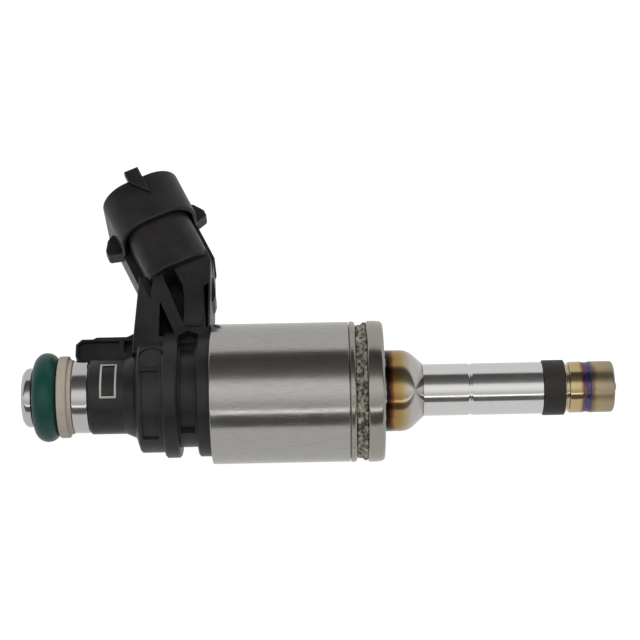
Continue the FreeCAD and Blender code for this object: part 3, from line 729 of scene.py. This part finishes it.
@dataclass
class CoilCase:
    """Steel pot round the coil, the ridge ring, and the weld with its track and bead."""

    kit: Kit
    start: float = -25.3
    end: float = -5.05
    outer_r: float = 10.35
    bore_r: float = 8.9
    core_r: float = 5.15
    yoke: float = 1.6
    ridge_x: float = -4.95
    ridge_groove_r: float = 9.9
    ridge_r: float = 10.41
    weld_x: float = -4.1
    weld_end: float = -2.5
    bead_x: float = -3.25
    weld_r: float = 10.25
    weld_root: float = 8.65
    seam_offset: float = 1.0
    pot_corner: float = 0.2
    ring_corner: float = 0.16
    ridge_chamfer: tuple[float, float] = (0.25, 0.22)
    track_depth: float = 0.5
    bead_rise: float = 0.3
    bead_drop: float = 0.12
    weld_run: float = 0.06
    weld_columns: int = 1100
    lump: float = 0.05
    lump_low: float = -0.22
    lump_high: float = 0.12
    calm: float = 0.8
    fade: float = 0.2

    def build(self) -> None:
        """Builds and dresses the pieces."""
        yoke_x = self.end - self.yoke
        pot_seam = self.bore_r - self.seam_offset
        pot = rounded([
            (yoke_x, pot_seam), (yoke_x, self.bore_r), (self.start, self.bore_r),
            (self.start, self.outer_r), (self.end, self.outer_r), (self.end, self.core_r),
            (yoke_x, self.core_r), (yoke_x, pot_seam - SEAM),
        ], self.pot_corner)
        self.kit.place(lathe("solenoid_housing_turned", pot, FINE), "solenoid_housing",
                       "brushed_steel", self.kit.material(Finish.HOUSING))
        ring_seam = self.core_r + self.seam_offset
        cut_x, cut_r = self.ridge_chamfer
        ring = rounded([
            (self.weld_x, ring_seam), (self.weld_x, self.core_r), (self.end, self.core_r),
            (self.end, self.ridge_groove_r), (self.ridge_x, self.ridge_groove_r),
            (self.ridge_x, self.ridge_r), (self.weld_x - cut_x, self.ridge_r),
            (self.weld_x, self.ridge_r - cut_r), (self.weld_x, ring_seam + SEAM),
        ], self.ring_corner)
        self.kit.place(lathe("spacer_ring_turned", ring, FINE), "spacer_ring", "brushed_steel",
                       self.kit.material(Finish.FLANGE))
        self.kit.place(self.weld(), "housing_weld", "weld_metal", self.kit.material(Finish.WELD))

    def weld(self) -> bpy.types.Object:
        """A sunken track and a raised bead, both with seeded lumps that fade out at the root."""
        track_r, bead_r = self.weld_r - self.track_depth, self.weld_r - self.bead_drop
        outline = subdivided(rounded([
            (self.weld_x, self.weld_root), (self.weld_x, track_r), (self.bead_x, track_r),
            (self.bead_x + self.bead_rise, bead_r), (self.weld_end, bead_r),
            (self.weld_end, self.weld_root),
        ], self.pot_corner), self.weld_run)
        rows, columns = len(outline), self.weld_columns
        fine = ripple(rows, columns, seed=5, smooth=(1.2, 1.6))
        coarse = ripple(rows, columns, seed=6, smooth=(3, 5))
        lumps = np.clip(self.lump * fine + self.lump * coarse, self.lump_low, self.lump_high)
        on_top = np.clip((outline[:, 1:] - self.weld_root - self.calm) / self.fade, 0, 1)
        return lathe("housing_weld_bead", outline, columns, lumps * on_top)


# Colours of heated steel as (place, colour), where the place is 0 at the start of the tinted
# stretch and 1 at its end.
BOSS_TINT = (
    (0.0, (0.4, 0.38, 0.34)), (0.135, (0.4, 0.38, 0.34)), (0.15, (0.012, 0.007, 0.007)),
    (0.24, (0.03, 0.014, 0.014)), (0.32, (0.13, 0.055, 0.024)), (0.4, (0.4, 0.22, 0.075)),
    (0.6, (0.46, 0.31, 0.13)), (0.74, (0.52, 0.43, 0.3)), (0.9, (0.58, 0.55, 0.52)))
TUBE_TINT = (
    (0.0, (0.78, 0.765, 0.75)), (0.2, (0.66, 0.58, 0.48)), (0.32, (0.6, 0.5, 0.28)),
    (0.7, (0.6, 0.46, 0.23)), (0.8, (0.3, 0.15, 0.12)))
WELD_TINT = (
    (0.0, (0.3, 0.14, 0.12)), (0.35, (0.14, 0.07, 0.14)), (0.6, (0.1, 0.09, 0.22)),
    (1.0, (0.1, 0.12, 0.24)))
CUP_TINT = (
    (0.0, (0.1, 0.11, 0.2)), (0.2, (0.22, 0.15, 0.14)), (0.34, (0.5, 0.38, 0.2)),
    (0.55, (0.44, 0.37, 0.24)), (1.0, (0.4, 0.34, 0.22)))


@dataclass
class NozzleEnd:
    """Flange with boss, nozzle tube, seal and tip."""

    kit: Kit
    flange_r: float = 10.45
    flange_x: float = -2.5
    flange_edge: float = 0.3
    flange_slope: float = 0.2
    face_edge_x: float = 0.35
    face_edge_r: float = 0.45
    face_round: float = 0.1
    back_x: float = -4.1
    sleeve_r: float = 5.1
    sleeve_x: float = -2.6
    root_r: float = 8.65
    bore_r: float = 3.0
    boss_r: float = 6.0
    boss_x: float = 2.4
    cone_start: float = 3.55
    cone_end: float = 5.85
    cone_corner: float = 1.2
    cone_foot: float = 0.05
    body_corner: float = 0.15
    tube_r: float = 3.82
    tube_bore: float = 2.3
    tube_start: float = 0.4
    tube_corner: float = 0.16
    tube_run: float = 1.0
    notch_x: float = 12.75
    notch_half: float = 0.3
    notch_depth: float = 0.18
    seal_x: float = 23.5
    seal_end: float = 26.65
    seal_r: float = 4.08
    seal_floor: float = 3.2
    seal_seam: float = 25.0
    seal_corner: float = 0.15
    rim: float = 0.25
    rim_drop: float = 0.05
    neck_r: float = 3.35
    head_x: float = 27.3
    head_r: float = 3.77
    joint_x: float = 29.8
    weld_half: float = 0.5
    weld_root: float = 3.37
    weld_drop: float = 0.02
    waist: float = 0.09
    weld_columns: int = 360
    ripple_depth: float = 0.012
    ripple_limit: float = 0.015
    tip_x: float = 33.9
    tip_corner: float = 0.5
    dome_r: float = 1.1
    dome_h: float = 0.65
    dome_edge: float = 0.05
    sac_x: float = 32.96
    sac_r: float = 0.4
    seat_start: float = 31.5
    seat_end: float = 32.87
    guide_r: float = 1.78
    guide_x: float = 28.2
    spigot_gap: float = 0.1
    cup_corner: float = 0.05
    pole: float = 0.001
    curve_points: int = 18
    dome_points: int = 14

    def build(self) -> None:
        """Builds and dresses the pieces."""
        kit = self.kit
        body = TintedSteel("boss_steel", start=-0.5, end=4.5, stops=BOSS_TINT, roughness=0.15,
                           waver=0.6)
        kit.place(self.valve_body(), "valve_body", "turned_steel", body.build())
        tube = TintedSteel("tube_steel", start=26.0, end=30.0, stops=TUBE_TINT, roughness=0.1,
                           waver=0.5, marks=0.0007)
        kit.place(self.tube(), "nozzle_tube", "polished_steel", tube.build())
        kit.place(self.seal(), "combustion_seal", "seal_ptfe", kit.material(Finish.SEAL))
        weld = TintedSteel("weld_tint", start=29.2, end=30.4, stops=WELD_TINT, roughness=0.25,
                           waver=2.2)
        kit.place(self.weld(), "tip_weld", "tinted_weld", weld.build())
        cup = TintedSteel("cup_steel", start=29.8, end=34.0, stops=CUP_TINT, roughness=0.34,
                          waver=1.4)
        kit.place(self.cup(), "valve_seat", "tinted_steel", cup.build())

    def valve_body(self) -> bpy.types.Object:
        """Flange, boss, and a cone that a quadratic curve joins to the boss."""
        foot_r = self.tube_r + self.cone_foot
        run = np.array([self.cone_end - self.cone_start, foot_r - self.boss_r])
        corner = np.array([self.cone_start, self.boss_r])
        leave = corner + self.cone_corner * run / np.linalg.norm(run)
        t = np.linspace(0, 1, self.curve_points)[:, None]
        shoulder = (1 - t) ** 2 * np.array([self.boss_x, self.boss_r])
        shoulder = shoulder + 2 * t * (1 - t) * corner + t ** 2 * leave
        shoulder = np.vstack([shoulder, [(self.cone_end, foot_r)]])
        head = rounded([
            (self.back_x, self.sleeve_r), (self.back_x, self.root_r), (self.flange_x, self.root_r),
            (self.flange_x, self.flange_r - self.flange_edge),
            (self.flange_x + self.flange_slope, self.flange_r), (self.flange_x / 2, self.flange_r),
            (-self.face_edge_x, self.flange_r - self.face_round),
            (0, self.flange_r - self.face_edge_r), (0, self.boss_r), (self.boss_x, self.boss_r),
        ], self.body_corner)
        foot = np.array([(self.cone_end, self.tube_r), (self.tube_start, self.tube_r),
                         (self.tube_start, self.bore_r), (self.sleeve_x, self.bore_r),
                         (self.sleeve_x, self.sleeve_r)])
        return lathe("valve_body_turned", np.vstack([head[:-1], shoulder, foot]), FINE)

    def tube(self) -> bpy.types.Object:
        """Tube with notch, seal groove, rim, neck and head."""
        rim_x, rim_r = self.seal_end + self.rim, self.head_r - self.rim_drop
        spigot_x = self.joint_x - self.weld_half
        outline = rounded([
            (self.joint_x, self.tube_bore), (self.tube_start, self.tube_bore),
            (self.tube_start, self.tube_r), (self.notch_x - self.notch_half, self.tube_r),
            (self.notch_x, self.tube_r - self.notch_depth),
            (self.notch_x + self.notch_half, self.tube_r), (self.seal_x, self.tube_r),
            (self.seal_x, self.seal_floor), (self.seal_end, self.seal_floor),
            (self.seal_end, rim_r), (rim_x, rim_r), (rim_x, self.neck_r),
            (self.head_x, self.neck_r), (self.head_x, self.head_r), (spigot_x, self.head_r),
            (spigot_x, self.weld_root), (self.joint_x, self.weld_root),
        ], self.tube_corner)
        return lathe("nozzle_tube_turned", subdivided(outline, self.tube_run))

    def seal(self) -> bpy.types.Object:
        """The dark sealing ring, drawn from a point in the middle of its bore."""
        outline = rounded([
            (self.seal_seam, self.seal_floor), (self.seal_x, self.seal_floor),
            (self.seal_x, self.seal_r), (self.seal_end, self.seal_r),
            (self.seal_end, self.seal_floor), (self.seal_seam + SEAM, self.seal_floor),
        ], self.seal_corner)
        return lathe("combustion_seal_ring", outline)

    def weld(self) -> bpy.types.Object:
        """The waist of the tip, hollowed by half a sine wave, with faint seeded ripples."""
        s = np.linspace(0, 1, self.curve_points)
        x = self.joint_x - self.weld_half + 2 * self.weld_half * s
        r = self.head_r - self.weld_drop - self.waist * np.sin(math.pi * s)
        root = self.weld_root
        outline = np.vstack([[(x[0], root)], np.stack([x, r], 1), [(x[-1], root)]])
        waves = self.ripple_depth * ripple(len(outline), self.weld_columns, seed=3, smooth=(1.5, 3))
        return lathe("tip_weld_band", outline, self.weld_columns,
                     np.minimum(waves, self.ripple_limit))

    def cup(self) -> bpy.types.Object:
        """Tip cup with a rounded rim, a small dome, the seat's cone and the bore for the ball."""
        t = np.linspace(0, 1, self.dome_points)
        cap = (self.dome_r ** 2 + self.dome_h ** 2) / (2 * self.dome_h)
        r = self.dome_r * (1 - t)
        dome = np.stack([self.tip_x + self.dome_h - cap + np.sqrt(cap ** 2 - r ** 2), r], 1)
        dome[-1, 1] = self.pole
        edge = self.joint_x + self.weld_half
        head = rounded([
            (self.joint_x, self.weld_root), (edge, self.weld_root), (edge, self.head_r),
            (self.tip_x, self.head_r), (self.tip_x, self.dome_r + self.dome_edge),
        ], self.tip_corner)
        inner = rounded([
            (self.sac_x, self.pole), (self.sac_x, self.sac_r), (self.seat_end, self.sac_r),
            (self.seat_start, self.guide_r), (self.guide_x, self.guide_r),
            (self.guide_x, self.tube_bore), (self.joint_x, self.tube_bore),
            (self.joint_x, self.weld_root - self.spigot_gap),
        ], self.cup_corner)
        return lathe("valve_seat_cup", np.vstack([head, dome, inner]))


@dataclass
class Springs:
    """The two coil springs."""

    kit: Kit
    closing_coil_r: float = 1.43
    closing_wire_r: float = 0.25
    closing_pitch: float = 0.98
    lift: float = 0.08
    armature_coil_r: float = 1.5
    armature_wire_r: float = 0.11
    armature_pitch: float = 0.36
    free_travel: float = 0.04

    def build(self) -> None:
        """Builds both springs."""
        self.spring("closing_spring", "injector",
                    (self.closing_coil_r, self.closing_wire_r, self.closing_pitch))
        self.spring("armature_spring", "needle_group",
                    (self.armature_coil_r, self.armature_wire_r, self.armature_pitch))

    def spring(self, node: str, body: str,
               wire: tuple[float, float, float]) -> None:
        """Builds one spring between the ends of its node.

        Args:
            node: the node that it replaces.
            body: the body that holds its end on the inlet side.
            wire: the coil's radius, the wire's radius and the pitch.
        """
        low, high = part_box(node)
        start, end = low[0] / MM, high[0] / MM
        piece = helix_piece(node + "_wire", (start, end), *wire)
        self.kit.place(piece, node, "spring_steel", self.kit.material(Finish.SPRING), body)
        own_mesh(piece)


@dataclass
class Inside:
    """Pieces that the shell hides, which keep their solids."""

    kit: Kit

    def build(self) -> None:
        """Dresses each hidden node."""
        finishes = {
            Finish.INNER: ("adjusting_sleeve", "valve_sleeve", "guide_ring", "needle", "stop_ring",
                           "stop_sleeve"),
            Finish.MAGNETIC: ("cover_washer", "inner_pole", "armature"),
            Finish.BOBBIN: ("coil_bobbin",),
            Finish.COPPER: ("coil_winding",),
            Finish.POLISHED: ("needle_ball",),
        }
        for finish, names in finishes.items():
            for name in names:
                self.kit.dress(self.kit.nodes[name], self.kit.material(finish))
                LOG.info("%s dressed with %s", name, finish.name)


# ------------------------------------------------------------------ studio
@dataclass
class Studio:
    """Pale floor, soft light from broad screens all round the X axis, and camera."""

    floor_z: float = -10.48
    elevation: float = 62.0
    distance: float = 282.0
    lens: float = 106.97
    sensor: float = 36.0
    nearest: float = 0.01
    roll: float = 1.146
    aim_x: float = -9.17
    aim_up: float = 10.69
    floor_half: float = 2000.0
    floor_colour: Colour = (0.12, 0.12, 0.12)
    floor_rough: float = 0.9
    floor_specular: float = 0.1
    floor_glow: float = 0.95
    lamp_size: tuple[float, float] = (700.0, 500.0)
    lamp_place: tuple[float, float, float] = (-20.0, -60.0, 450.0)
    lamp_tilt: float = -8.0
    lamp_power: float = 3.6
    # screens as (degrees up from the -Y horizon over the top, brightness)
    screens: tuple[tuple[float, float], ...] = (
        (0, 0.7), (6, 0.7), (8.5, 0.16), (14, 0.11), (26, 0.12), (30, 0.2), (31.5, 1.6),
        (35.5, 1.6), (38, 0.5), (48, 0.6), (56, 0.8), (66, 0.92), (78, 0.9), (84, 0.72),
        (90, 0.27), (98, 0.15), (108, 0.11), (122, 0.08), (133, 0.1), (137, 0.45), (140, 0.68),
        (148, 0.72), (180, 0.7))

    def build(self) -> None:
        """Builds the studio."""
        self.floor()
        self.sky()
        self.lamp()
        self.camera()
        LOG.info("studio ready")

    def floor(self) -> None:
        """A large flat floor that glows a little, so that shadows stay faint."""
        half = self.floor_half
        mesh = bpy.data.meshes.new("floor")
        corners = [(-half, -half), (half, -half), (half, half), (-half, half)]
        points = [(x * MM, y * MM, self.floor_z * MM) for x, y in corners]
        mesh.from_pydata(points, [], [(0, 1, 2, 3)])
        floor = bpy.data.objects.new("floor", mesh)
        bpy.context.scene.collection.objects.link(floor)
        n = Surface("pale_floor")
        n.give("Base Color", (*self.floor_colour, 1))
        n.give("Roughness", self.floor_rough)
        n.give("Specular IOR Level", self.floor_specular)
        n.give("Emission Color", (1, 1, 1, 1))
        n.give("Emission Strength", self.floor_glow)
        floor.data.materials.append(n.material)
        floor.visible_glossy = False

    def sky(self) -> None:
        """World light that changes only with the angle round the X axis."""
        world = bpy.data.worlds.new("studio")
        bpy.context.scene.world = world
        world.use_nodes = True
        n = Nodes(world.node_tree, "Generated")
        split = n.put("ShaderNodeSeparateXYZ")
        n.join(n.place, split.inputs["Vector"])
        minus = n.math("MULTIPLY", split.outputs["Y"], -1.0)
        share = n.span(n.math("ARCTAN2", split.outputs["Z"], minus), 0.0, math.pi)
        stops = tuple((math.radians(up) / math.pi, (light,) * 3) for up, light in self.screens)
        n.join(n.ramp(share, stops), n.tree.nodes["Background"].inputs["Color"])

    def lamp(self) -> None:
        """A wide soft lamp overhead that lights the floor and the plastic but isn't mirrored."""
        light = bpy.data.lights.new("overhead", "AREA")
        light.shape = "RECTANGLE"
        light.size, light.size_y = (side * MM for side in self.lamp_size)
        light.energy = self.lamp_power
        lamp = bpy.data.objects.new("overhead", light)
        lamp.location = [value * MM for value in self.lamp_place]
        lamp.rotation_euler = (math.radians(self.lamp_tilt), 0, 0)
        lamp.visible_glossy = False
        bpy.context.scene.collection.objects.link(lamp)

    def camera(self) -> None:
        """The camera, rolled a little, looking at the middle of the view."""
        e, roll = math.radians(self.elevation), math.radians(self.roll)
        right, up = np.array([1, 0, 0]), np.array([0, math.sin(e), math.cos(e)])
        back = np.array([0, -math.cos(e), math.sin(e)])
        aim = self.aim_x * right + self.aim_up * up
        place = (aim + self.distance * back) * MM
        across = right * math.cos(roll) - up * math.sin(roll)
        above = right * math.sin(roll) + up * math.cos(roll)
        matrix = np.eye(4)
        matrix[:3, 0], matrix[:3, 1], matrix[:3, 2], matrix[:3, 3] = across, above, back, place
        data = bpy.data.cameras.new("camera")
        data.lens = self.lens
        data.sensor_width = self.sensor
        data.clip_start = self.nearest
        camera = bpy.data.objects.new("camera", data)
        camera.matrix_world = matrix.T.tolist()
        bpy.context.scene.collection.objects.link(camera)
        bpy.context.scene.camera = camera
        bpy.context.scene.view_settings.view_transform = "Standard"


def main() -> None:
    """Builds every sub-assembly in order, then the studio."""
    logging.basicConfig(level=logging.INFO, format="%(name)s: %(message)s")
    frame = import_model()
    kit = Kit(frame["nodes"], {})
    for group in (InletEnd(kit), Moulding(kit), CoilCase(kit), NozzleEnd(kit), Springs(kit),
                  Inside(kit)):
        group.build()
    Studio().build()
    bpy.context.view_layer.update()


if __name__ == "__main__":
    main()
